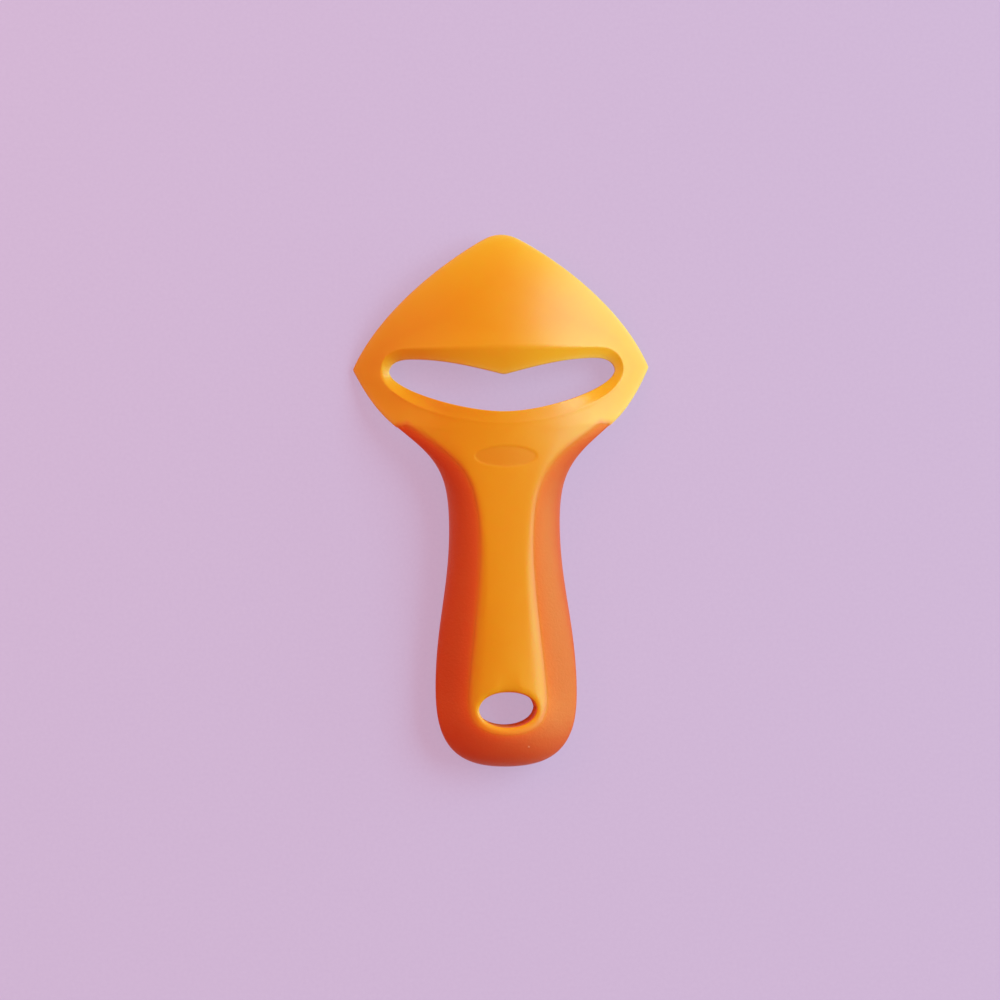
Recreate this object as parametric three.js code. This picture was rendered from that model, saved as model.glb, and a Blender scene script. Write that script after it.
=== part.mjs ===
// Orange peeler: a scooped head with a rolled-lip slot and a scoring tooth, and a handle with a soft grip.
// It lies on its back. X runs across, Y runs towards the tip and Z runs up out of the domed front.
// The back of the handle rests on Z = 0. Sizes are in millimetres and angles in degrees.
import * as THREE from 'three';
import { mergeVertices } from 'three/addons/utils/BufferGeometryUtils.js';

const { lerp, smoothstep, degToRad } = THREE.MathUtils;

// Outline seen from the front
const overallLength = 160;
const headWidth = 89.6;
const tipRadius = 10;
const tipFlankAngle = 29;
const cornerFromTip = 40.1;
const cornerUpperAngle = 66;
const cornerLowerAngle = 65;
const hornFromTip = 57.8;
const hornSpan = 64;
const hornEdgeAngle = 38;
const neckFromTip = 87.5;
const neckWidth = 33.3;
const gripWidestFromTail = 22.5;
const gripWidth = 42.6;

// Slot with its tooth, and the lip rolled in all round it
const cheekWidth = 10.7;
const slotEndFromTip = 41;
const slotShoulderInset = 5.75;
const slotShoulderFromTip = 37.4;
const toothFromTip = 42.2;
const toothAngle = 14;
const slotBottomFromTip = 53.3;
const toothLipWidth = 8.2;
const upperLipWidth = 3.2;
const endLipWidth = 2.6;
const lowerLipWidth = 3.4;
const lipShoulderOutset = 1;
const lipEndRise = 0.65;

// Amber strip down the front of the handle, and the hanging hole
const hornEndWidth = 2.9;
const hornEndAngle = 16;
const stripHornAngle = 33;
const stripWaistFromTip = 94;
const stripWaistWidth = 15.9;
const holeFromTail = 17.5;
const holeWidth = 17.4;
const holeHeight = 10.7;
const rimSideWidth = 3.05;
const rimBelowWidth = 2.2;
const rimHipAboveHole = 3;
const collarFromTip = 60.5;

// Fullness of the curves: the length of each curve's handle as a share of the span between its ends
const flankFullness = 0.31;
const cheekFullness = 0.33;
const hornFullness = 0.46;
const neckFullness = 0.48;
const shaftUpperFullness = 0.37;
const shaftLowerFullness = 0.4;
const tailSideFullness = 0.55;
const tailEndFullness = 0.47;
const slotArchFullness = 0.35;
const slotShoulderFullness = 0.5;
const slotEndFullness = 0.32;
const slotSideFullness = 0.14;
const slotBellyFullness = 0.36;
const creaseSideFullness = 0.22;
const creaseBellyFullness = 0.42;
const seamHornFullness = 0.47;
const seamWaistFullness = 0.51;
const seamUpperFullness = 0.3;
const seamLowerFullness = 0.17;
const seamHipFullness = 0.43;
const seamBottomFullness = 0.53;

// Heights of the head
const domeHeight = 18;
const domeRadiusAcross = 62;
const domeRadiusAlong = 95;
const domeCrownFromTip = 46;
const headThickness = 2.6;
const edgeThickness = 1;
const edgeTaper = 12;
const upperLipSlope = 0.45;
const endLipSlope = 0.78;
const lowerLipSlope = 0.18;
const lowerLipReach = 8;
const lipEdgeThickness = 1.4;
const toothEdgeThickness = 0.7;
const toothReach = 12;

// Heights of the handle
const gripHeight = 17.5;
const tailHeight = 16.2;
const neckCrownRadius = 130;
const tailCrownRadius = 34;
const partingHeight = 8.5;
const frontRound = 10;
const backRound = 11;
const blendAboveCollar = 6;
const blendBelowCollar = 24;
const shoulderSlope = 0.22;
const neckShoulderWidth = 1.2;
const tailShoulderWidth = 3.2;
const shoulderRun = 70;
const shoulderStart = 10;
const shoulderPower = 1.5;
const rimDrop = 0.7;
const rimFlare = 1.5;
const rimPower = 2;

// Core plate under the strip, its undercut edge, and the gap between the two mouldings
const coreThickness = 6;
const rimThickness = 3.6;
const rimRun = 12;
const undercut = 1.2;
const undercutRun = 12;
const seamGap = 0.3;

// Facet counts and the spread of the grid lines across each surface
const upperStations = 18;
const lowerStations = 10;
const shaftRows = 16;
const tailRows = 10;
const lipRings = [0, 0.12, 0.4, 0.7, 1];
const cheekRings = [0.06, 0.25, 0.5, 0.75, 0.93, 1];
const stripColumns = [0, 0.25, 0.5, 0.7, 0.85, 0.95, 1];
const sideColumns = [0, 0.08, 0.31, 0.59, 0.81, 0.95, 1];
const lowerSlotShare = 0.42;
const fanSeamRise = 6;
const fanEdgeRise = 10;
const columnsOverUndercut = 2;
const samplesPerLine = 160;
const searchSteps = 40;
const sameSpot = 1e-4;

// Levels along the handle, worked out from the sizes above
const tipY = overallLength / 2;
const tailY = -overallLength / 2;
const holeY = tailY + holeFromTail;
const holeTopY = holeY + holeHeight / 2;
const holeBottomY = holeY - holeHeight / 2;

const point = (x, y) => new THREE.Vector2(x, y);
const heading = (degrees) => point(Math.cos(degToRad(degrees)), Math.sin(degToRad(degrees)));

// Cubic curve that leaves and arrives along given headings, with handles that are shares of the span
function sweep(start, startHeading, startShare, end, endHeading, endShare) {
  const span = start.distanceTo(end);
  const leave = start.clone().addScaledVector(startHeading, span * startShare);
  const arrive = end.clone().addScaledVector(endHeading, -span * endShare);
  return new THREE.CubicBezierCurve(start, leave, arrive, end);
}

function chain(...curves) {
  const path = new THREE.CurvePath();
  curves.forEach((curve) => path.add(curve));
  return path;
}

const downwards = heading(-90);
const inwards = heading(180);
const outwards = heading(0);

// Right half of the outline: tip and upper edge, lower edge of the head, then neck, shaft and tail
const corner = point(headWidth / 2, tipY - cornerFromTip);
const horn = point(hornSpan / 2, tipY - hornFromTip);
const hornHeading = heading(180 + hornEdgeAngle);

function makeUpperEdge() {
  const tipCentreY = tipY - tipRadius;
  const flankStart = degToRad(90 - tipFlankAngle);
  const tipArc = new THREE.EllipseCurve(0, tipCentreY, tipRadius, tipRadius, Math.PI / 2, flankStart, true);
  const flankTop = tipArc.getPoint(1);
  const [leaving, arriving] = [heading(-tipFlankAngle), heading(-cornerUpperAngle)];
  return chain(tipArc, sweep(flankTop, leaving, flankFullness, corner, arriving, flankFullness));
}

function makeLowerEdge() {
  return sweep(corner, heading(180 + cornerLowerAngle), cheekFullness, horn, hornHeading, cheekFullness);
}

function makeHandleEdge() {
  const neck = point(neckWidth / 2, tipY - neckFromTip);
  const widest = point(gripWidth / 2, tailY + gripWidestFromTail);
  const tail = point(0, tailY);
  return chain(
    sweep(horn, hornHeading, hornFullness, neck, downwards, neckFullness),
    sweep(neck, downwards, shaftUpperFullness, widest, downwards, shaftLowerFullness),
    sweep(widest, downwards, tailSideFullness, tail, inwards, tailEndFullness),
  );
}

const upperEdge = makeUpperEdge();
const lowerEdge = makeLowerEdge();
const handleEdge = makeHandleEdge();

// Right half of the slot, and of the crease where the lip starts to roll in
const slotEnd = point(corner.x - cheekWidth, tipY - slotEndFromTip);
const slotShoulder = point(slotEnd.x - slotShoulderInset, tipY - slotShoulderFromTip);
const toothApex = point(0, tipY - toothFromTip);
const slotBottom = point(0, tipY - slotBottomFromTip);

const slotUpper = chain(
  sweep(toothApex, heading(toothAngle), slotArchFullness, slotShoulder, outwards, slotArchFullness),
  sweep(slotShoulder, outwards, slotShoulderFullness, slotEnd, downwards, slotEndFullness),
);
const slotLower = sweep(slotEnd, downwards, slotSideFullness, slotBottom, inwards, slotBellyFullness);

const creaseTop = point(0, toothApex.y + toothLipWidth);
const creaseShoulder = point(slotShoulder.x + lipShoulderOutset, slotShoulder.y + upperLipWidth);
const creaseEnd = point(slotEnd.x + endLipWidth, slotEnd.y + lipEndRise);
const creaseBottom = point(0, slotBottom.y - lowerLipWidth);

const creaseUpper = chain(
  sweep(creaseTop, outwards, slotArchFullness, creaseShoulder, outwards, slotArchFullness),
  sweep(creaseShoulder, outwards, slotShoulderFullness, creaseEnd, downwards, slotEndFullness),
);
const creaseLower = sweep(
  creaseEnd, downwards, creaseSideFullness, creaseBottom, inwards, creaseBellyFullness);

// Seam between the amber strip and the grip: from the horn's blunt end down the neck and round under the hole
const seamStart = horn.clone().addScaledVector(heading(180 - hornEndAngle), hornEndWidth);
const seamWaist = point(stripWaistWidth / 2, tipY - stripWaistFromTip);
const seamHip = point(holeWidth / 2 + rimSideWidth, holeY + rimHipAboveHole);
const seamBottom = point(0, holeBottomY - rimBelowWidth);

const seam = chain(
  sweep(seamStart, heading(180 + stripHornAngle), seamHornFullness, seamWaist, downwards, seamWaistFullness),
  sweep(seamWaist, downwards, seamUpperFullness, seamHip, downwards, seamLowerFullness),
  sweep(seamHip, downwards, seamHipFullness, seamBottom, inwards, seamBottomFullness),
);

const [topAngle, bottomAngle] = [Math.PI / 2, -Math.PI / 2];
const holeEdge = new THREE.EllipseCurve(0, holeY, holeWidth / 2, holeHeight / 2, topAngle, bottomAngle, true);

// The collar line crosses the neck between the horns, where the grip starts on the back
const collarY = tipY - collarFromTip;
const collarAt = (x) => collarY + (seamStart.y - collarY) * (x / seamStart.x) ** 2;

// Distance from a point to a sampled line
const outline = [upperEdge, lowerEdge, handleEdge];
const outlineSamples = outline.flatMap((curve) => curve.getSpacedPoints(samplesPerLine));
const seamSamples = seam.getSpacedPoints(samplesPerLine);
const holeSamples = holeEdge.getSpacedPoints(samplesPerLine);

function distanceTo(samples, place) {
  let nearest = Infinity;
  for (let n = 1; n < samples.length; n += 1) {
    const along = samples[n].clone().sub(samples[n - 1]);
    const offset = place.clone().sub(samples[n - 1]);
    const share = THREE.MathUtils.clamp(offset.dot(along) / (along.lengthSq() || 1), 0, 1);
    nearest = Math.min(nearest, offset.addScaledVector(along, -share).length());
  }
  return nearest;
}

// Quarter-round edge: 0 at the outline, 1 from one radius inwards
function roundedEdge(distance, radius) {
  const short = 1 - Math.min(distance / radius, 1);
  return Math.sqrt(1 - short * short);
}

// Share of a fall: 1 at a line, 0 from a given width onwards
const flare = (distance, width, power) => (1 - Math.min(distance / width, 1)) ** power;

// 0 on the head, 1 on the handle
function handleShare(place) {
  const below = collarAt(place.x) + blendAboveCollar - place.y;
  return smoothstep(below, 0, blendAboveCollar + blendBelowCollar);
}

function headThicknessAt(place) {
  const inside = smoothstep(distanceTo(outlineSamples, place), 0, edgeTaper);
  return lerp(edgeThickness, headThickness, inside);
}

function domeFront(place) {
  const along = Math.max(0, place.y - (tipY - domeCrownFromTip));
  return domeHeight - place.x ** 2 / (2 * domeRadiusAcross) - along ** 2 / (2 * domeRadiusAlong);
}

function gripFront(place) {
  const fromTail = smoothstep(place.y, tailY, collarY);
  const crown = lerp(tailHeight, gripHeight, fromTail);
  const bend = lerp(1 / tailCrownRadius, 1 / neckCrownRadius, fromTail);
  const edge = partingHeight + edgeThickness / 2;
  const top = crown - (bend * place.x ** 2) / 2;
  return lerp(edge, top, roundedEdge(distanceTo(outlineSamples, place), frontRound));
}

function gripBack(place) {
  const edge = partingHeight - edgeThickness / 2;
  return edge * (1 - roundedEdge(distanceTo(outlineSamples, place), backRound));
}

const frontHeight = (place) => lerp(domeFront(place), gripFront(place), handleShare(place));
const backHeight = (place) => {
  const headBack = domeFront(place) - headThicknessAt(place);
  return lerp(headBack, gripBack(place), handleShare(place));
};

// The strip stands a little proud of the grip. Its shoulders widen towards the tail, fall to the seam and are
// flush with the grip below the hole, and its rim falls into the hole.
function shoulderWidthAt(place) {
  return lerp(neckShoulderWidth, tailShoulderWidth, smoothstep(collarAt(place.x) - place.y, 0, shoulderRun));
}

function seamDrop(place) {
  const belowCollar = smoothstep(collarAt(place.x) - place.y, 0, shoulderStart);
  const aboveHole = smoothstep(place.y, holeBottomY, holeTopY);
  return shoulderSlope * shoulderWidthAt(place) * belowCollar * aboveHole;
}

function stripFront(place) {
  const shoulder = flare(distanceTo(seamSamples, place), shoulderWidthAt(place), shoulderPower);
  const rim = flare(distanceTo(holeSamples, place), rimFlare, rimPower);
  return frontHeight(place) - Math.max(seamDrop(place) * shoulder, rimDrop * rim);
}

const sideFront = (place) => frontHeight(place) - seamDrop(place);

function plateBottom(place) {
  const front = stripFront(place);
  const full = lerp(rimThickness, coreThickness, smoothstep(place.y, holeTopY, holeTopY + rimRun));
  return front - Math.min(full, (front - backHeight(place)) / 2);
}

const lift = (place, height) => new THREE.Vector3(place.x, place.y, height);

// A closed skin gathered from quads on the right half and their mirror images on the left
class Skin {
  constructor() {
    this.corners = [];
  }

  triangle(a, b, c) {
    const shortest = Math.min(a.distanceTo(b), b.distanceTo(c), c.distanceTo(a));
    if (shortest < sameSpot) return;
    const mirrored = [a, c, b].map((v) => new THREE.Vector3(-v.x, v.y, v.z));
    [a, b, c, ...mirrored].forEach((v) => this.corners.push(v.x, v.y, v.z));
  }

  quad(a, b, c, d) {
    this.triangle(a, b, c);
    this.triangle(a, c, d);
  }

  // Grid of points: faces up when its first index runs across and its second runs towards the tip
  sheet(grid, facesUp = true) {
    for (let m = 0; m + 1 < grid.length; m += 1) {
      for (let n = 0; n + 1 < grid[m].length; n += 1) {
        const [near, far] = [grid[m][n], grid[m + 1][n + 1]];
        const [first, second] = facesUp ? [grid[m + 1][n], grid[m][n + 1]] : [grid[m][n + 1], grid[m + 1][n]];
        this.quad(near, first, far, second);
      }
    }
  }

  // Wall between two lines of points: faces left of the run when looking down on it
  wall(upper, lower) {
    for (let n = 0; n + 1 < upper.length; n += 1) {
      this.quad(upper[n], upper[n + 1], lower[n + 1], lower[n]);
    }
  }

  geometry() {
    const loose = new THREE.BufferGeometry();
    loose.setAttribute('position', new THREE.Float32BufferAttribute(this.corners, 3));
    const merged = mergeVertices(loose, sameSpot);
    merged.computeVertexNormals();
    return merged;
  }
}

const onAxis = (place) => point(Math.abs(place.x) < sameSpot ? 0 : place.x, place.y);
const between = (from, to, share) => onAxis(from.clone().lerp(to, share));
const spaced = (curve, count, start = 0, end = 1) =>
  Array.from({ length: count + 1 }, (_, n) => onAxis(curve.getPointAt(lerp(start, end, n / count))));
const column = (grid, n) => grid.map((row) => row[n]);

// Share of a falling path at which it reaches a level
function shareAtLevel(path, level) {
  let high = 0;
  let low = 1;
  for (let step = 0; step < searchSteps; step += 1) {
    const middle = (high + low) / 2;
    if (path.getPointAt(middle).y > level) high = middle;
    else low = middle;
  }
  return (high + low) / 2;
}

// Rows of the handle run from the axis or the hole's edge, across the seam, to the outline
function makeHandleRows() {
  const rowShares = (fanShare) => [
    ...Array.from({ length: shaftRows }, (_, n) => (fanShare * n) / shaftRows),
    ...Array.from({ length: tailRows + 1 }, (_, n) => lerp(fanShare, 1, n / tailRows)),
  ];
  const seamShares = rowShares(shareAtLevel(seam, holeTopY + fanSeamRise));
  const edgeShares = rowShares(shareAtLevel(handleEdge, holeTopY + fanEdgeRise));
  const axisTop = point(0, collarY);
  const axisBottom = point(0, holeTopY);
  const inner = [
    ...Array.from({ length: shaftRows }, (_, n) => between(axisTop, axisBottom, n / shaftRows)),
    ...spaced(holeEdge, tailRows),
  ];
  return inner.map((start, n) => {
    const tangent = seam.getTangentAt(seamShares[n]);
    return {
      inner: start,
      seam: onAxis(seam.getPointAt(seamShares[n])),
      away: point(-tangent.y, tangent.x),
      outer: onAxis(handleEdge.getPointAt(edgeShares[n])),
      bend: lerp(2, 1, Math.min(n / shaftRows, 1)),
    };
  });
}

const handleRows = makeHandleRows();
const stripLast = stripColumns.length - 1;

// Plan points of one row under the strip, bent like a parabola by the collar and straight by the hole
function stripPlan(row) {
  const run = row.seam.clone().sub(row.inner);
  return stripColumns.map((share) =>
    onAxis(point(row.inner.x + run.x * share, row.inner.y + run.y * share ** row.bend)));
}

function undercutAt(row) {
  return undercut * smoothstep(seamStart.y - row.seam.y, 0, undercutRun);
}

// Plan of the plate's lower face, wider than the strip by the undercut and a clearance
function platePlan(row, clearance) {
  const plan = stripPlan(row);
  plan[stripLast] = onAxis(row.seam.clone().addScaledVector(row.away, undercutAt(row) + clearance));
  return plan;
}

const plateLine = (row, clearance) => {
  const heights = stripPlan(row).map(plateBottom);
  return platePlan(row, clearance).map((place, n) => lift(place, heights[n] - clearance));
};

// Amber moulding
function makeBody() {
  const skin = new Skin();
  const front = handleRows.map((row) => stripPlan(row).map((place) => lift(place, stripFront(place))));
  const bottom = handleRows.map((row) => plateLine(row, 0));
  const head = makeHead(stripPlan(handleRows[0]));
  const collarFront = head.front.slice(-stripLast - 1).map((line) => line[line.length - 1]);
  const collarBack = head.back.slice(-stripLast - 1).map((line) => line[line.length - 1]);
  const edgeFront = column(head.front, head.front[0].length - 1).slice(0, head.hornStation + 1);
  const edgeBack = column(head.back, head.back[0].length - 1).slice(0, head.hornStation + 1);

  skin.sheet(head.front);
  skin.sheet(head.back, false);
  skin.wall(edgeFront, edgeBack);
  skin.wall(column(head.back, 0), column(head.front, 0));

  // Blunt end of the horn, and the step on the back where the grip starts
  const hornFront = edgeFront[head.hornStation];
  const hornBack = edgeBack[head.hornStation];
  const stepTop = bottom[0].slice().reverse();
  skin.wall([hornFront, collarFront[0]], [hornBack, stepTop[0]]);
  skin.triangle(hornBack, stepTop[0], collarBack[0]);
  skin.wall(stepTop, collarBack);

  skin.sheet(front);
  skin.sheet(bottom, false);
  skin.wall(column(front, stripLast), column(bottom, stripLast));
  skin.wall(column(bottom, 0).slice(shaftRows), column(front, 0).slice(shaftRows));
  return skin.geometry();
}

// Head: lines from the slot's edge over the crease to the outer edge, round from the tooth to the collar
function makeHead(collarPlan) {
  const lowerSplit = (curve) => {
    const collarRun = collarPlan.map((place) => place.x / horn.x).reverse();
    const side = spaced(curve, lowerStations, 0, lowerSlotShare).slice(1);
    const below = collarRun.map((share) => onAxis(curve.getPointAt(1 - share * (1 - lowerSlotShare))));
    return [...side, ...below];
  };
  const slotLine = [...spaced(slotUpper, upperStations), ...lowerSplit(slotLower)];
  const creaseLine = [...spaced(creaseUpper, upperStations), ...lowerSplit(creaseLower)];
  const outerLine = [
    ...spaced(upperEdge, upperStations),
    ...spaced(lowerEdge, lowerStations).slice(1),
    ...collarPlan.slice().reverse(),
  ];
  const lines = slotLine.map((slot, n) => {
    const onLowerEdge = n > upperStations;
    const fromTooth = onLowerEdge ? 1 : smoothstep(slot.x, 0, toothReach);
    const thickness = lerp(toothEdgeThickness, lipEdgeThickness, fromTooth);
    const byEnd = smoothstep(slot.x, onLowerEdge ? lowerLipReach : slotShoulder.x, slotEnd.x);
    const slope = lerp(onLowerEdge ? lowerLipSlope : upperLipSlope, endLipSlope, byEnd);
    return headLine(slot, creaseLine[n], outerLine[n], thickness, slope);
  });
  return {
    front: lines.map((line) => line.front),
    back: lines.map((line) => line.back),
    hornStation: upperStations + lowerStations,
  };
}

function headLine(slot, crease, outer, slotThickness, slope) {
  const lip = lipRings.map((share) => {
    const place = between(slot, crease, share);
    const front = frontHeight(place) - slope * place.distanceTo(crease);
    const thickness = lerp(slotThickness, frontHeight(crease) - backHeight(crease), share);
    return { place, front, back: front - thickness };
  });
  const cheek = cheekRings.map((share) => {
    const place = between(crease, outer, share);
    return { place, front: frontHeight(place), back: backHeight(place) };
  });
  const line = [...lip, ...cheek];
  return {
    front: line.map((spot) => lift(spot.place, spot.front)),
    back: line.map((spot) => lift(spot.place, spot.back)),
  };
}

// Soft grip: the sides beside the strip, the whole back, and the bed that the amber plate lies in
function makeGrip() {
  const skin = new Skin();
  const towardsTail = (lines) => {
    const first = lines[0].map((spot, n) => {
      const step = lines[1][n].clone().sub(spot);
      return spot.clone().addScaledVector(step, seamGap / step.length());
    });
    return [first, ...lines.slice(1)];
  };
  const sidePlan = (row) => {
    const start = row.seam.clone().addScaledVector(row.away, seamGap);
    return sideColumns.map((share) => between(start, row.outer, share));
  };
  const backPlan = (row) => [...platePlan(row, seamGap), ...sidePlan(row).slice(columnsOverUndercut)];
  const sideLine = (row) => sidePlan(row).map((place) => lift(place, sideFront(place)));
  const backLine = (row) => backPlan(row).map((place) => lift(place, backHeight(place)));
  const front = towardsTail(handleRows.map(sideLine));
  const back = towardsTail(handleRows.map(backLine));
  const bed = towardsTail(handleRows.map((row) => plateLine(row, seamGap)));
  const sideLast = sideColumns.length - 1;
  const backLast = back[0].length - 1;

  skin.sheet(front);
  skin.sheet(back, false);
  skin.sheet(bed);
  skin.wall(column(front, sideLast), column(back, backLast));
  skin.wall(column(bed, stripLast), column(front, 0));
  skin.wall(column(back, 0).slice(shaftRows), column(bed, 0).slice(shaftRows));

  // End wall against the collar and the blunt ends of the horns
  const bedEnd = bed[0];
  const backEnd = back[0];
  const frontEnd = front[0];
  skin.wall(bedEnd, backEnd.slice(0, stripLast + 1));
  closeHornEnd(skin, frontEnd, [bedEnd[stripLast], ...backEnd.slice(stripLast)]);
  return skin.geometry();
}

// Flat end of a horn, facing the head: the line from the bed along the back, then the front line back again
function closeHornEnd(skin, frontEnd, underside) {
  const rim = [...underside, ...frontEnd.slice().reverse()];
  const faces = THREE.ShapeUtils.triangulateShape(rim.map((spot) => point(spot.x, spot.z)), []);
  faces.forEach(([a, b, c]) => skin.triangle(rim[a], rim[c], rim[b]));
}

const amberNylon = new THREE.MeshStandardMaterial({ color: '#f19d27', roughness: 0.35, metalness: 0 });
const redRubber = new THREE.MeshStandardMaterial({ color: '#dc6320', roughness: 0.7, metalness: 0 });

function piece(name, geometry, material) {
  const mesh = new THREE.Mesh(geometry, material);
  mesh.name = name;
  return mesh;
}

const orangePeeler = new THREE.Group();
orangePeeler.add(piece('peeler_body', makeBody(), amberNylon));
orangePeeler.add(piece('soft_grip', makeGrip(), redRubber));

export default orangePeeler;
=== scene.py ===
import math

import bmesh
import bpy
from mathutils import Matrix, Vector
from mathutils.bvhtree import BVHTree
from mathutils.geometry import intersect_point_line
from mathutils.kdtree import KDTree


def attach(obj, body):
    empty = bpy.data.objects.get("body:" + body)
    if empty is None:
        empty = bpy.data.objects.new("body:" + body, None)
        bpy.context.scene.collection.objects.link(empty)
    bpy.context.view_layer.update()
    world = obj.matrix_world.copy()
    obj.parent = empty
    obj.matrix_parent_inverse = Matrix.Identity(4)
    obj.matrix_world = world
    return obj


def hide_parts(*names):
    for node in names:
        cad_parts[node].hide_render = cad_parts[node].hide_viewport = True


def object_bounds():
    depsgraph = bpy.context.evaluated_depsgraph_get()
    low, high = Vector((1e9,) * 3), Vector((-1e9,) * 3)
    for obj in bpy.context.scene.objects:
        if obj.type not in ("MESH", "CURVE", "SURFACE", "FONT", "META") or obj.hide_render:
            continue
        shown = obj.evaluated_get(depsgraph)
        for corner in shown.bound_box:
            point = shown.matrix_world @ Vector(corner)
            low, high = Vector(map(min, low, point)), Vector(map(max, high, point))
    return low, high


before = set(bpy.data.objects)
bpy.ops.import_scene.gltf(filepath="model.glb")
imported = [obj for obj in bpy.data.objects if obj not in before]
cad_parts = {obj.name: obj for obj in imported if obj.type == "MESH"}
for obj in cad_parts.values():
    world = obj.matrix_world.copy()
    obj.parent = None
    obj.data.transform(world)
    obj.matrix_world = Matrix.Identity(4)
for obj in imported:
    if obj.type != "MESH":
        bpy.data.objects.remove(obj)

CAD_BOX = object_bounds()

MM = 0.001
DOWN = Vector((0.0, 0.0, -1.0))

# Places on the part, in its own frame
HEAD_HALF_WIDTH = CAD_BOX[1][0]
FRONT_TOP = CAD_BOX[1][2]
HORN_Y = 22.95 * MM
HORN_END = (Vector((32.0 * MM, 22.2 * MM)), Vector((29.2 * MM, 23.0 * MM)))
HORN_REACH = 1.0 * MM
HORN_END_REACH = 0.5 * MM
SLOT_HALF_WIDTH = 34.0 * MM
SLOT_TOP = 41.0 * MM
HOLE_CENTRE = Vector((0.0, -62.5 * MM, 0.0))
HOLE_REACH = 9.3 * MM
BACK_REACH = 1.0 * MM

# Smoothing of the mouldings: full creases stay crisp, eased ones are softened by a small radius
WELD = 0.002 * MM
SMOOTH_LEVELS = 2
OUTLINE_FIT = 0.55
SHARP_ANGLE = math.radians(35)
CRISP_ANGLE = math.radians(50)
EASED_CREASE = 0.36
CORNER_CREASE = 0.5
CROWDED_LINKS = 4

# Seam between the mouldings: reach of the points that close it, and how far the horns' blunt ends overlap it
SEAM_REACH = 0.7 * MM
HORN_OVERLAP = 0.2 * MM

# Upward part of a normal: the most on an upright wall and on the hole's wall, and the least on a front face
UPRIGHT = 0.3
HOLE_WALL_LEAN = 0.4
FRONT_FACING = 0.5

# Lower lip of the slot: its width, its slopes at the middle and at the ends, and where its fold fades in
LIP_WIDTH = 3.4 * MM
LIP_ROUNDING = 1.5 * MM
LIP_SLOPES = (0.18, 0.78)
LIP_SLOPE_SPAN = (8.0 * MM, SLOT_HALF_WIDTH)
LIP_FADE = (15.0 * MM, 31.0 * MM)

# Bare oval recess in the neck
OVAL_CENTRE = Vector((0.0, 13.35 * MM, 0.0))
OVAL_HALF_WIDTH = 9.7 * MM
OVAL_HALF_HEIGHT = 3.55 * MM
OVAL_DEPTH = 0.13 * MM
OVAL_WALL = 0.9 * MM
OVAL_MARGIN = 2 * OVAL_WALL
OVAL_CORE = 0.5
OVAL_CUTS = 3

# Mark of the mould's gate on the grip
GATE_MARK = Vector((6.05 * MM, -73.7 * MM, 0.0))
GATE_RADIUS = 0.32 * MM
GATE_FLATNESS = 0.4

# Painted glow and painted highlight by thin edges, fainter at the hole, and reach of the colour blended over
# the seam at neck and tail, partly painted light
THIN_EDGE_REACH = 14.0 * MM
HOLE_RIM_GLOW = 0.4
AMBER_SEAM_LIGHT_REACH = (1.7 * MM, 2.8 * MM)
RUBBER_SEAM_LIGHT_REACH = (4.5 * MM, 3.0 * MM)

# Photograph's view: turns of the part under the camera, in degrees, and the framing
PHOTO_WIDTH = 1000
VIEW_YAW = 4.0
VIEW_PITCH = 0.6
VIEW_ROLL = 0.63
VIEW_DISTANCE = 1100 * MM
VIEW_CENTRE = Vector((0.0, 0.0, 9.0 * MM))
MM_PER_PIXEL = 0.3004
PART_CENTRE_PIXEL = (504.35, 500.57)
SENSOR_WIDTH = 36.0

# Studio: floor in metres, share of its shadow that the camera doesn't see, and the lamps' aim and tints
FLOOR_HALF_SIZE = 3.0
PAPER_GLOW = 0.95
SHADOW_SOFTENING = 0.68
LAMP_TARGET = Vector((0.0, 0.0, 10.0 * MM))
COOL_LIGHT = (0.44, 1.0, 1.06)
WARM_LIGHT = (1.0, 0.4, 0.22)

# Surround: the way it brightens, and its colours past the tail and past the head
TOWARDS_HEAD = (0.5, 0.87, 0.0)
SURROUND_PAST_TAIL = (0.3, 0.02, 0.07, 1.0)
SURROUND_PAST_HEAD = (0.82, 0.28, 0.17, 1.0)

# Sockets of a Mix node that mixes colours
MIX_FACTOR = 0
MIX_FIRST = 6
MIX_SECOND = 7
MIX_RESULT = 2


def linear_channel(display):
    """Linear light of one display value from 0 to 1, by the sRGB curve."""
    if display < 0.04045:
        return display / 12.92
    return ((display + 0.055) / 1.055) ** 2.4


def linear(red, green, blue):
    """Colour given in display numbers from 0 to 255, as linear light with full alpha."""
    return tuple(linear_channel(number / 255) for number in (red, green, blue)) + (1.0,)


# Colours of the amber nylon
AMBER_DEEP = linear(243, 160, 9)
AMBER_LIGHT = linear(246, 168, 13)
# Painted glow of thin amber, standing in for light through thin edges
AMBER_THIN_GLOW = linear(254, 194, 36)
# Painted highlight along the thin edges
AMBER_EDGE_HIGHLIGHT = linear(255, 212, 130)
AMBER_OVAL = linear(230, 136, 12)
# Redder amber by the rubber: a colour blend, partly painted light against the seam's shade
AMBER_SEAM_BLEND_LIT = linear(253, 126, 30)

# Colours of the red rubber
RUBBER_DEEP = linear(218, 79, 40)
RUBBER_LIGHT = linear(222, 89, 44)
# Painted glow of the rubber where it meets the amber
RUBBER_GLOW = linear(248, 92, 38)
# Rubber blended towards the amber, partly painted light against the seam's shade
RUBBER_SEAM_BLEND_LIT = linear(255, 125, 30)
# Painted highlight on the gate's pip
RUBBER_PIP_HIGHLIGHT = linear(250, 160, 120)

# Colours of the hole's walls, lighter than the rubber as painted light against the hole's shade, and of the
# floor's paper
# Lining colour, lighter than the rubber as painted light against the hole's shade
HOLE_LINING_LIGHTENED = linear(255, 140, 50)
PAPER_DEEP = linear(212, 188, 222)
PAPER_LIGHT = linear(218, 195, 227)


# Places and distances

def smooth_step(value, start, end):
    share = min(max((value - start) / (end - start), 0.0), 1.0)
    return share * share * (3 - 2 * share)


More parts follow.
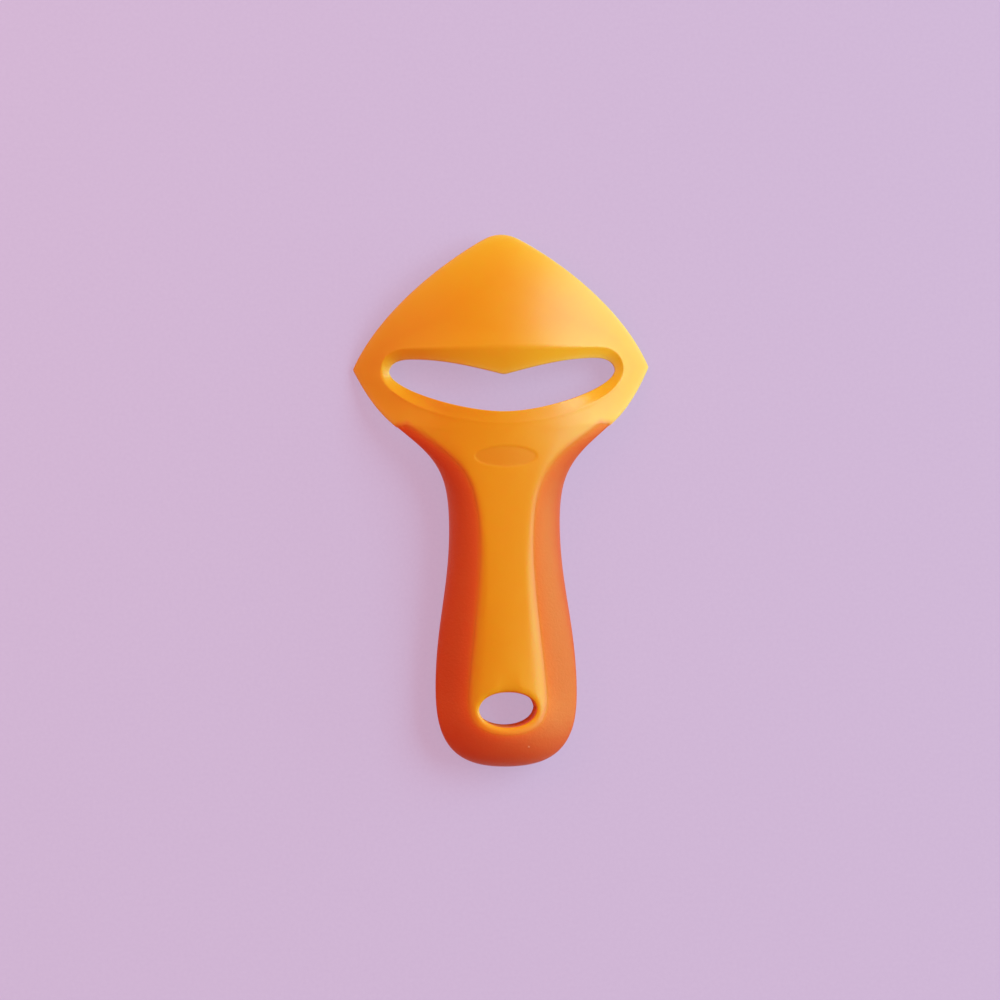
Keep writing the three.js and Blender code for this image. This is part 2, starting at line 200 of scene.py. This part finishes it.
def rounded_ramp(value, rounding):
    """The value where it is positive and 0 where it is negative, with the corner rounded."""
    return value if value > rounding else max(value + rounding, 0.0) ** 2 / (4 * rounding)


def tree_of(places):
    tree = KDTree(len(places))
    for index, place in enumerate(places):
        tree.insert(place, index)
    tree.balance()
    return tree


def on_plan(place):
    return Vector((place.x, place.y, 0.0))


def on_right_half(place):
    return Vector((abs(place.x), place.y))


def by_hole(place):
    return (place - HOLE_CENTRE).to_2d().length < HOLE_REACH


def at_horn_end(place):
    """Whether a point lies on the blunt end of a horn."""
    half_place = on_right_half(place)
    nearest, share = intersect_point_line(half_place, *HORN_END)
    return 0 <= share <= 1 and (half_place - nearest.to_2d()).length < HORN_END_REACH


def faces_front(vertex):
    return vertex.normal.z > FRONT_FACING


def on_lower_slot_wall(vertex):
    in_slot = HORN_Y < vertex.co.y < SLOT_TOP and abs(vertex.co.x) < SLOT_HALF_WIDTH
    return in_slot and abs(vertex.normal.z) < UPRIGHT < vertex.normal.y


def is_thin_wall(vertex):
    """Whether a point is on the wall of an edge that thins out: all but the slot's thicker lower edge."""
    in_place = vertex.co.y > HORN_Y or by_hole(vertex.co)
    return abs(vertex.normal.z) < UPRIGHT and in_place and not on_lower_slot_wall(vertex)


def is_hole_wall(vertex):
    return by_hole(vertex.co) and abs(vertex.normal.z) < HOLE_WALL_LEAN


def is_spoke(step):
    """Whether an edge's step leads away from the hole's top, more across than along the handle."""
    return abs(step.x) > step.y > 0


def inside_oval(place):
    """About how far a point lies inside the oval's edge; negative outside."""
    across = (place.x - OVAL_CENTRE.x) / OVAL_HALF_WIDTH
    along = (place.y - OVAL_CENTRE.y) / OVAL_HALF_HEIGHT
    reach = math.hypot(across, along)
    if reach < OVAL_CORE:
        return OVAL_HALF_HEIGHT * OVAL_CORE
    return (1 - reach) * reach / math.hypot(across / OVAL_HALF_WIDTH, along / OVAL_HALF_HEIGHT)


# Shapes

def control_cage(node):
    """Welded copy of a CAD node with its triangles joined back into four-sided faces."""
    cage = bmesh.new()
    cage.from_mesh(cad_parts[node].data)
    bmesh.ops.remove_doubles(cage, verts=cage.verts, dist=WELD)
    bmesh.ops.join_triangles(
        cage,
        faces=cage.faces,
        angle_face_threshold=math.pi,
        angle_shape_threshold=math.pi,
        topology_influence=1.0,
    )
    cage.normal_update()
    return cage


def close_seam(grip_cage, body_cage):
    """Brings the grip's seam onto the amber moulding's own points, and its horn ends a little way into it."""
    body_points = tree_of([vertex.co for vertex in body_cage.verts])
    body_surface = BVHTree.FromBMesh(body_cage)
    for vertex in grip_cage.verts:
        spot, _, distance = body_points.find(vertex.co)
        wall, _, _, gap = body_surface.find_nearest(vertex.co)
        is_blunt_end = at_horn_end(vertex.co)
        if distance < SEAM_REACH:
            vertex.co = spot
        elif gap < SEAM_REACH / 2 or is_blunt_end:
            vertex.co = wall
        if is_blunt_end:
            vertex.co.y += HORN_OVERLAP
    bmesh.ops.remove_doubles(grip_cage, verts=grip_cage.verts, dist=WELD)
    grip_cage.normal_update()


def clear_hole_top(cage):
    """Joins the faces over the hole whose edges crowd one point, which smoothing would leave as a dent."""
    spokes = []
    for vertex in cage.verts:
        if by_hole(vertex.co) and len(vertex.link_edges) > CROWDED_LINKS:
            spokes += [edge for edge in vertex.link_edges if is_spoke(edge.other_vert(vertex).co - vertex.co)]
    bmesh.ops.dissolve_edges(cage, edges=spokes)


def crease_edges(cage, is_eased):
    """Creases the edges that the mould leaves crisp, and less so those that are eased."""
    crease = cage.edges.layers.float.new("crease_edge")
    corner = cage.verts.layers.float.new("crease_vert")
    for edge in cage.edges:
        if len(edge.link_faces) == 2 and edge.calc_face_angle() > SHARP_ANGLE:
            middle = (edge.verts[0].co + edge.verts[1].co) / 2
            edge[crease] = EASED_CREASE if is_eased(middle) else 1.0
    for vertex in cage.verts:
        half_place = on_right_half(vertex.co)
        if half_place.x > HEAD_HALF_WIDTH - WELD:
            vertex[corner] = CORNER_CREASE
        elif any((half_place - end).length < HORN_REACH for end in HORN_END):
            vertex[corner] = 1.0


def smoothed_mesh(piece, levels):
    smoothing = piece.modifiers.new("smoothing", "SUBSURF")
    smoothing.levels = levels
    smoothing.render_levels = levels
    evaluated = piece.evaluated_get(bpy.context.evaluated_depsgraph_get())
    dense = bpy.data.meshes.new_from_object(evaluated)
    piece.modifiers.clear()
    return dense


def shade_smooth(piece):
    """Smooth shading that stops at the crisp edges."""
    shape = bmesh.new()
    shape.from_mesh(piece.data)
    for face in shape.faces:
        face.smooth = True
    for edge in shape.edges:
        edge.smooth = edge.calc_face_angle(0.0) < CRISP_ANGLE
    shape.to_mesh(piece.data)
    shape.free()


def smoothed_piece(cage, name):
    """Object made from a cage by subdivision, with the cage swollen so that smoothing keeps its outline."""
    mesh = bpy.data.meshes.new(name + "_cage")
    piece = bpy.data.objects.new(name, mesh)
    bpy.context.scene.collection.objects.link(piece)
    cage.to_mesh(mesh)
    shrunk = smoothed_mesh(piece, 1)
    for vertex, reached in zip(cage.verts, shrunk.vertices):
        vertex.co.xy += (vertex.co - reached.co).xy * OUTLINE_FIT
    bpy.data.meshes.remove(shrunk)
    cage.to_mesh(mesh)
    cage.free()
    piece.data = smoothed_mesh(piece, SMOOTH_LEVELS)
    piece.data.name = name
    bpy.data.meshes.remove(mesh)
    shade_smooth(piece)
    return piece


def level_lower_lip(piece):
    """Levels the fold along the middle of the slot's lower edge, so that it shows only towards the ends."""
    middle_slope, end_slope = LIP_SLOPES
    shape = bmesh.new()
    shape.from_mesh(piece.data)
    wall = tree_of([on_plan(vertex.co) for vertex in shape.verts if on_lower_slot_wall(vertex)])
    for vertex in shape.verts:
        across = abs(vertex.co.x)
        slope = middle_slope + (end_slope - middle_slope) * smooth_step(across, *LIP_SLOPE_SPAN)
        _, _, distance = wall.find(on_plan(vertex.co))
        drop = slope * rounded_ramp(LIP_WIDTH - distance, LIP_ROUNDING)
        on_front = smooth_step(vertex.normal.z, -UPRIGHT, FRONT_FACING)
        vertex.co.z += drop * on_front * (1 - smooth_step(across, *LIP_FADE))
    shape.to_mesh(piece.data)
    shape.free()


def press_oval(piece):
    """Sinks a shallow bare oval into the front of the neck."""
    shape = bmesh.new()
    shape.from_mesh(piece.data)
    near = [
        edge for edge in shape.edges
        if all(faces_front(vertex) and inside_oval(vertex.co) > -OVAL_MARGIN for vertex in edge.verts)
    ]
    bmesh.ops.subdivide_edges(shape, edges=near, cuts=OVAL_CUTS, use_grid_fill=True)
    shape.normal_update()
    inside = shape.verts.layers.float.new("oval_floor")
    for vertex in shape.verts:
        if faces_front(vertex):
            vertex[inside] = smooth_step(inside_oval(vertex.co), 0.0, OVAL_WALL)
            vertex.co.z -= OVAL_DEPTH * vertex[inside]
    shape.to_mesh(piece.data)
    shape.free()


def add_gate_mark(piece):
    """Small pip that the mould's gate left on the grip below the hole, marked for a painted highlight."""
    surface = BVHTree.FromObject(piece, bpy.context.evaluated_depsgraph_get())
    above = Vector((GATE_MARK.x, GATE_MARK.y, FRONT_TOP))
    spot, normal, _, _ = surface.ray_cast(above, DOWN)
    upright = normal.to_track_quat("Z", "Y").to_matrix().to_4x4()
    shape = bmesh.new()
    shape.from_mesh(piece.data)
    # Marks the pip's points for its painted highlight
    on_pip_highlight = shape.verts.layers.float.new("gate_pip_highlight")
    pip = bmesh.ops.create_uvsphere(
        shape,
        u_segments=16,
        v_segments=8,
        radius=GATE_RADIUS,
        matrix=Matrix.Translation(spot) @ upright @ Matrix.Diagonal((1.0, 1.0, GATE_FLATNESS, 1.0)),
    )
    for vertex in pip["verts"]:
        vertex[on_pip_highlight] = 1.0
        for face in vertex.link_faces:
            face.smooth = True
    shape.to_mesh(piece.data)
    shape.free()


# Shares stored on the points for the materials

def store_shares(piece, name, shares):
    layer = piece.data.attributes.new(name, "FLOAT", "POINT")
    layer.data.foreach_set("value", shares)


def mark_thin_edges(piece):
    """Stores how close each point is to a thin edge of the head or, more faintly, to the hanging hole, for
    the painted glow and highlight there.
    """
    vertices = piece.data.vertices
    rim = tree_of([vertex.co for vertex in vertices if is_thin_wall(vertex)])
    shares = []
    for vertex in vertices:
        _, _, distance = rim.find(vertex.co)
        glow_strength = HOLE_RIM_GLOW if vertex.co.y < 0 else 1.0
        shares.append((1 - min(distance / THIN_EDGE_REACH, 1.0)) * glow_strength)
    store_shares(piece, "thin_edge_glow", shares)


def mark_hole_lining(piece):
    """Stores which points are on the walls of the hanging hole."""
    store_shares(piece, "hole_lining", [float(is_hole_wall(vertex)) for vertex in piece.data.vertices])


def mark_seam(piece, other, reaches):
    """Stores how close each point is to the other moulding, by one reach at the neck and one at the tail, for
    the seam's colour blend, which is partly painted light against the shade there.
    """
    neck_reach, tail_reach = reaches
    surface = BVHTree.FromObject(other, bpy.context.evaluated_depsgraph_get())
    shares = []
    for vertex in piece.data.vertices:
        by_tail = smooth_step(HOLE_CENTRE.y - vertex.co.y, -HOLE_REACH, HOLE_REACH)
        reach = neck_reach + (tail_reach - neck_reach) * by_tail
        _, _, _, distance = surface.find_nearest(vertex.co)
        shares.append(1 - min(distance / reach, 1.0))
    store_shares(piece, "seam_blend_and_light", shares)


# Materials

class Wire:
    """One output socket of a material's node tree; arithmetic on wires adds Math nodes."""

    def __init__(self, tree, socket=None):
        self.tree = tree
        self.socket = socket

    def node(self, kind, settings=None, sockets=None, output=0):
        """Adds a node, sets it up, fills or links its sockets, and gives back one of its outputs."""
        made = self.tree.nodes.new(kind)
        for name, value in (settings or {}).items():
            setattr(made, name, value)
        for name, value in (sockets or {}).items():
            if isinstance(value, Wire):
                self.tree.links.new(value.socket, made.inputs[name])
            else:
                made.inputs[name].default_value = value
        return Wire(self.tree, made.outputs[output] if made.outputs else None)

    def math(self, operation, first, second):
        return self.node("ShaderNodeMath", {"operation": operation}, {0: first, 1: second})

    def __add__(self, other):
        return self.math("ADD", self, other)

    __radd__ = __add__

    def __mul__(self, other):
        return self.math("MULTIPLY", self, other)

    __rmul__ = __mul__

    def __pow__(self, power):
        return self.math("POWER", self, power)


def new_material(name):
    material = bpy.data.materials.new(name)
    material.use_nodes = True
    material.node_tree.nodes.clear()
    return material, Wire(material.node_tree)


def finish_material(start, surface):
    shader = start.node("ShaderNodeBsdfPrincipled", None, surface, "BSDF")
    start.node("ShaderNodeOutputMaterial", None, {"Surface": shader})


def mix_colours(start, factor, first, second):
    settings = {"data_type": "RGBA", "blend_type": "MIX"}
    sockets = {MIX_FACTOR: factor, MIX_FIRST: first, MIX_SECOND: second}
    return start.node("ShaderNodeMix", settings, sockets, MIX_RESULT)


def fading(share, power, most):
    """A stored share that fades out faster with a higher power and reaches at most a given amount."""
    return share ** power * most


def object_place(start):
    return start.node("ShaderNodeTexCoord", None, None, "Object")


def noise(start, place, scale, detail=2.0, roughness=0.5):
    sockets = {"Vector": place, "Scale": scale, "Detail": detail, "Roughness": roughness}
    return start.node("ShaderNodeTexNoise", None, sockets, "Fac")


def attribute(start, name):
    return start.node("ShaderNodeAttribute", {"attribute_name": name}, None, "Fac")


def bump(start, height, strength, distance):
    sockets = {"Strength": strength, "Distance": distance, "Height": height}
    return start.node("ShaderNodeBump", None, sockets, "Normal")


def amber_nylon():
    """Satin amber nylon: a painted glow where it is thin and a painted highlight on thin edges, redder along
    the seam in a blend partly painted light, with faint flow streaks.
    """
    material, start = new_material("amber_nylon")
    place = object_place(start)
    streaks = noise(start, place, scale=55.0, detail=3.0)
    mottling = noise(start, place, scale=260.0)
    grain = noise(start, place, scale=5200.0, roughness=0.6)
    thin = attribute(start, "thin_edge_glow")
    seam_share = attribute(start, "seam_blend_and_light")
    oval = attribute(start, "oval_floor")
    lining = attribute(start, "hole_lining")

    body = mix_colours(start, streaks * 0.5 + mottling * 0.25, AMBER_DEEP, AMBER_LIGHT)
    # Painted glow near thin edges, standing in for light shining through thin amber
    thin_glowing = mix_colours(start, fading(thin, power=1.4, most=0.8), body, AMBER_THIN_GLOW)
    # Painted highlight, a pale line right along the thin edges
    edge_highlit = mix_colours(start, fading(thin, power=20.0, most=0.6), thin_glowing, AMBER_EDGE_HIGHLIGHT)
    sunk = mix_colours(start, oval * 0.4, edge_highlit, AMBER_OVAL)
    # Redder towards the rubber: a colour blend, made lighter as painted light against the shade along the
    # seam
    seam_blended_lit = mix_colours(start, fading(seam_share, power=1.3, most=0.9), sunk, AMBER_SEAM_BLEND_LIT)
    # Hole's walls in the lining colour, lightened as painted light against their shade
    colour = mix_colours(start, lining, seam_blended_lit, HOLE_LINING_LIGHTENED)
    finish_material(start, {
        "Base Color": colour,
        "Roughness": 0.36 + mottling * 0.08 + oval * 0.06 + lining * 0.5,
        "IOR": 1.46,
        "Specular IOR Level": 0.45,
        "Subsurface Weight": 0.35,
        "Subsurface Radius": (1.0, 0.3, 0.08),
        "Subsurface Scale": 3.0 * MM,
        "Coat Weight": 0.15,
        "Coat Roughness": 0.25,
        "Normal": bump(start, grain, strength=0.05, distance=0.2 * MM),
    })
    return material


def red_soft_rubber():
    """Matt red-orange rubber with a fine moulded grain, a painted glow where it meets the amber, and a
    painted highlight on the gate's pip.
    """
    material, start = new_material("red_soft_rubber")
    place = object_place(start)
    cloud = noise(start, place, scale=70.0)
    mottling = noise(start, place, scale=420.0, detail=3.0)
    grain = noise(start, place, scale=1400.0, detail=3.0, roughness=0.65)
    seam_share = attribute(start, "seam_blend_and_light")
    lining = attribute(start, "hole_lining")
    pip = attribute(start, "gate_pip_highlight")

    body = mix_colours(start, cloud * 0.6 + mottling * 0.3, RUBBER_DEEP, RUBBER_LIGHT)
    # Painted glow of the rubber near the amber
    glowing = mix_colours(start, fading(seam_share, power=1.5, most=0.7), body, RUBBER_GLOW)
    # Blend towards the amber, lightened as painted light against the seam's shade
    seam_blended_lit = mix_colours(start, fading(seam_share, power=8.0, most=0.8), glowing, RUBBER_SEAM_BLEND_LIT)
    # Hole's walls in the lining colour, lightened as painted light against their shade
    lined = mix_colours(start, lining, seam_blended_lit, HOLE_LINING_LIGHTENED)
    # Painted highlight on the gate's pip
    colour = mix_colours(start, pip, lined, RUBBER_PIP_HIGHLIGHT)
    finish_material(start, {
        "Base Color": colour,
        "Roughness": 0.43 + grain * 0.12 + lining * 0.45,
        "IOR": 1.5,
        "Specular IOR Level": 1.0,
        "Specular Tint": (1.0, 0.85, 0.18, 1.0),
        "Subsurface Weight": 0.3,
        "Subsurface Radius": (1.0, 0.25, 0.08),
        "Subsurface Scale": 3.0 * MM,
        "Normal": bump(start, grain, strength=0.35, distance=0.3 * MM),
    })
    return material


# Pieces

def make_pieces():
    body_cage = control_cage("peeler_body")
    grip_cage = control_cage("soft_grip")
    close_seam(grip_cage, body_cage)
    clear_hole_top(body_cage)
    clear_hole_top(grip_cage)
    crease_edges(body_cage, lambda place: place.y > HORN_Y or by_hole(place))
    crease_edges(grip_cage, lambda place: by_hole(place) and place.z < BACK_REACH)
    body = smoothed_piece(body_cage, "peeler_body_moulding")
    grip = smoothed_piece(grip_cage, "soft_grip_moulding")
    level_lower_lip(body)
    press_oval(body)
    add_gate_mark(grip)
    mark_thin_edges(body)
    mark_hole_lining(body)
    mark_hole_lining(grip)
    mark_seam(body, grip, AMBER_SEAM_LIGHT_REACH)
    mark_seam(grip, body, RUBBER_SEAM_LIGHT_REACH)
    return body, grip


def dress(piece, node, material):
    piece.data.materials.clear()
    piece.data.materials.append(material)
    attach(piece, "root")
    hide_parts(node)


# Stage

def make_floor():
    """Pale paper, which the camera sees with a softened shadow."""
    shape = bmesh.new()
    bmesh.ops.create_grid(shape, x_segments=1, y_segments=1, size=FLOOR_HALF_SIZE)
    mesh = bpy.data.meshes.new("studio_floor")
    shape.to_mesh(mesh)
    shape.free()
    floor = bpy.data.objects.new("studio_floor", mesh)
    bpy.context.scene.collection.objects.link(floor)
    material, start = new_material("studio_paper")
    fibres = noise(start, object_place(start), scale=900.0)
    paper = mix_colours(start, fibres, PAPER_DEEP, PAPER_LIGHT)
    lit = start.node("ShaderNodeBsdfDiffuse", None, {"Color": paper}, "BSDF")
    glow = start.node("ShaderNodeEmission", None, {"Color": paper, "Strength": PAPER_GLOW}, "Emission")
    camera, glossy, transmission = [
        start.node("ShaderNodeLightPath", None, None, f"Is {kind} Ray")
        for kind in ("Camera", "Glossy", "Transmission")
    ]
    seen = (camera + glossy + transmission) * SHADOW_SOFTENING
    mixed = start.node("ShaderNodeMixShader", None, {0: seen, 1: lit, 2: glow})
    start.node("ShaderNodeOutputMaterial", None, {"Surface": mixed})
    mesh.materials.append(material)


def from_above(turn, height, distance):
    """Place at a turn from +X towards +Y and a height over the floor, both in degrees."""
    turn, height = math.radians(turn), math.radians(height)
    across = distance * math.cos(height)
    return Vector((across * math.cos(turn), across * math.sin(turn), distance * math.sin(height)))


def add_lamp(name, place, size, power, colour):
    light = bpy.data.lights.new(name, "AREA")
    light.shape = "RECTANGLE"
    light.size, light.size_y = size
    light.energy = power
    light.color = colour
    lamp = bpy.data.objects.new(name, light)
    lamp.location = place
    lamp.rotation_euler = (LAMP_TARGET - place).to_track_quat("-Z", "Y").to_euler()
    bpy.context.scene.collection.objects.link(lamp)


def make_lamps():
    """Cool softbox and low window on the right, and a small warm fill on the left."""
    add_lamp(
        "key_softbox",
        place=from_above(turn=22, height=41, distance=3.0),
        size=(2.6, 1.8),
        power=86.0,
        colour=COOL_LIGHT,
    )
    add_lamp(
        "low_window",
        place=from_above(turn=10, height=11, distance=2.5),
        size=(2.8, 0.8),
        power=26.0,
        colour=COOL_LIGHT,
    )
    add_lamp(
        "warm_fill",
        place=from_above(turn=152, height=38, distance=0.52),
        size=(0.4, 0.4),
        power=0.56,
        colour=WARM_LIGHT,
    )


def make_surround():
    """Warm surround that is brighter past the head than past the tail."""
    world = bpy.data.worlds.new("studio")
    bpy.context.scene.world = world
    world.use_nodes = True
    world.node_tree.nodes.clear()
    start = Wire(world.node_tree)
    direction = start.node("ShaderNodeTexCoord", None, None, "Generated")
    sockets = {0: direction, 1: TOWARDS_HEAD}
    headward = start.node("ShaderNodeVectorMath", {"operation": "DOT_PRODUCT"}, sockets, "Value")
    # The dot product runs from -1 to 1, and the mix from 0 to 1
    colour = mix_colours(start, headward * 0.5 + 0.5, SURROUND_PAST_TAIL, SURROUND_PAST_HEAD)
    background = start.node("ShaderNodeBackground", None, {"Color": colour, "Strength": 1.0})
    start.node("ShaderNodeOutputWorld", None, {"Surface": background})


def make_camera():
    """Camera above the part, turned against it as the photograph's view is."""
    yaw = Matrix.Rotation(math.radians(VIEW_YAW), 3, "Y")
    pitch = Matrix.Rotation(math.radians(VIEW_PITCH), 3, "X")
    roll = Matrix.Rotation(math.radians(VIEW_ROLL), 3, "Z")
    camera_axes = (roll @ pitch @ yaw).transposed()
    off_right = (PHOTO_WIDTH / 2 - PART_CENTRE_PIXEL[0]) * MM_PER_PIXEL * MM
    off_up = (PART_CENTRE_PIXEL[1] - PHOTO_WIDTH / 2) * MM_PER_PIXEL * MM
    camera_data = bpy.data.cameras.new("photo_camera")
    camera_data.sensor_width = SENSOR_WIDTH
    camera_data.lens = SENSOR_WIDTH * VIEW_DISTANCE / (PHOTO_WIDTH * MM_PER_PIXEL * MM)
    camera = bpy.data.objects.new("photo_camera", camera_data)
    place = VIEW_CENTRE + camera_axes @ Vector((off_right, off_up, VIEW_DISTANCE))
    camera.matrix_world = Matrix.Translation(place) @ camera_axes.to_4x4()
    bpy.context.scene.collection.objects.link(camera)
    bpy.context.scene.camera = camera


make_camera()
make_floor()
make_lamps()
make_surround()
body, grip = make_pieces()
dress(body, "peeler_body", amber_nylon())
dress(grip, "soft_grip", red_soft_rubber())
bpy.context.scene.view_settings.view_transform = "Standard"
